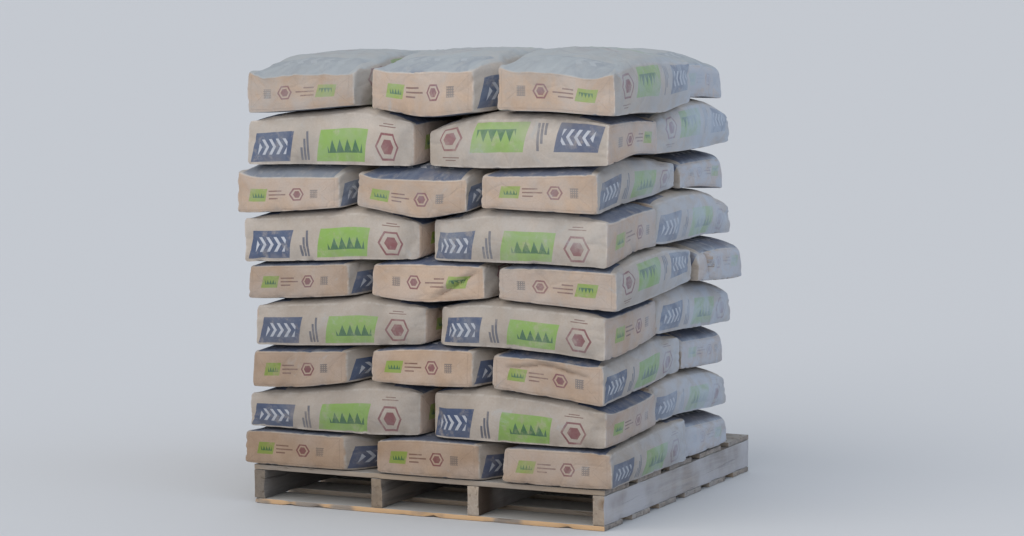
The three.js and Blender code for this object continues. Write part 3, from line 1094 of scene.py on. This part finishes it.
def dust_sack(mesh, rest, placed, node, index, layer_number, draw):
    """The values that the paper reads: where its print lies, its tone with painted shade, and its dust with
    painted cool light on the right side.
    """
    print_turn = np.array((1, -1, -1)) if node in upside_down else np.array((1, 1, 1))
    if "_front_" not in node:
        print_turn = np.array(turns[draw.randrange(len(turns))])
    layer = mesh.attributes.new("print_place", "FLOAT_VECTOR", "POINT")
    layer.data.foreach_set("vector", (rest * print_turn).ravel())
    dust = dust_least + dust_rise * layer_number + draw.uniform(*dust_drift)
    open_to_dust = dusty_tops.get(node, open_dust["crown" if layer_number == layer_count else "covered"])
    # painted shade: the lower the layer, the darker the sack
    tone = tone_top + draw.uniform(*tone_drift) - layer_shade_fall * (1 - (layer_number - 1) / (layer_count - 1))
    # painted shade: the listed sacks darker still
    tone *= shaded_sacks.get(node, 1.0)
    for key, value in (("sack_seed", index * 1.37), ("sack_tone_and_shade", tone), ("sack_dust", dust),
                       ("sack_open", open_to_dust), ("print_slip", draw.uniform(*print_slip)),
                       ("print_strength", draw.uniform(*print_strength))):
        layer = mesh.attributes.new(key, "FLOAT", "POINT")
        layer.data.foreach_set("value", [value] * len(mesh.vertices))
    # where the right-facing sides turn pale blue: partly dust, partly painted cool light
    layer = mesh.attributes.new("sack_blown_and_lit", "FLOAT", "POINT")
    from_front = placed[:, 1] - cad_low.y
    weather = blown_and_lit_share["open" if node.endswith("_right") else "sheltered"]
    layer.data.foreach_set("value", np.clip(from_front / blown_and_lit_depth, blown_and_lit_least, 1.0) * weather)


def settle_sack(node, index):
    low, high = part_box(node)
    centre = (low + high) / 2
    layer_number = int(node.split("_")[1])
    end_on = high.y - low.y > high.x - low.x
    draw = random.Random(1000 + index)
    blank, filled, cut = sack_blanks[draw.randrange(len(sack_blanks))]
    turn = np.array(turns[draw.randrange(len(turns))])

    mesh = blank.data.copy()
    mesh.name = node + "_paper"
    points = filled * turn
    rest = cut * turn
    normals = np.empty(len(mesh.vertices) * 3)
    mesh.vertices.foreach_get("normal", normals)
    normals = normals.reshape(-1, 3) * turn
    crinkle = np.array([noise.hetero_terrain(Vector(place) * crinkle_pitch + Vector((index * 3.7, 0, 0)),
                                             1.0, 2.0, 2, 0.2) for place in rest])
    crinkle -= crinkle.mean()
    points = points - normals * (crinkle_depth * crinkle)[:, None]
    dents = crease_paper(rest, draw)
    for creased, start, finish, depth in marked_creases:
        if creased == node:
            dents += fold_across(rest, start, finish, depth)

    share = round_sack(points, rest, normals * dents[:, None], node, end_on)
    lift = slump_sack(share, node, layer_number, end_on)
    taper_sack(share, node, end_on, high.x - low.x, draw)
    x_share, y_share = (-share[:, 1], share[:, 0]) if end_on else (share[:, 0], share[:, 1])
    x = centre.x + x_share * (high.x - low.x) / 2
    y = centre.y + y_share * (high.y - low.y) / 2
    upper = height_at(lying_heights(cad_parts[node], 1, low, high), x, y)
    lower = height_at(lying_heights(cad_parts[node], -1, low, high), x, y)
    placed = np.stack((x, y, lower + (upper - lower) * lift), axis=1)
    if layer_number == layer_count:
        dented = np.array([abs(noise.noise(Vector(place) * crown_pitch))
                           + crown_fine_share * abs(noise.noise(Vector(place) * crown_fine_pitch))
                           for place in placed])
        placed[:, 2] -= crown_dent * dented * lift ** 3
    wave = np.array([noise.noise_vector(Vector(place) * wave_pitch + Vector((0, 0, index * 1.3)))
                     for place in placed])
    edge_share = np.maximum(np.abs(x_share), np.abs(y_share)) ** 4
    outward = np.sign(np.stack((x_share, y_share), axis=1))
    placed[:, :2] -= (np.abs(wave[:, :2]) - wave_proud) * outward * (edge_share * settle_wave)[:, None]
    mesh.vertices.foreach_set("co", placed.ravel())
    mesh.update()
    dust_sack(mesh, rest, placed, node, index, layer_number, draw)

    sack = bpy.data.objects.new(node + "_filled", mesh)
    bpy.context.scene.collection.objects.link(sack)
    bpy.ops.object.select_all(action="DESELECT")
    sack.select_set(True)
    bpy.context.view_layer.objects.active = sack
    mesh.materials.append(sack_paper)
    bpy.ops.object.shade_smooth_by_angle(angle=sack_smooth)
    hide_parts(node)
    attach(sack, "root")


for index, node in enumerate(sorted(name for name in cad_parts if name.startswith("sack_"))):
    settle_sack(node, index)
for blank, filled, cut_points in sack_blanks:
    bpy.data.objects.remove(blank)
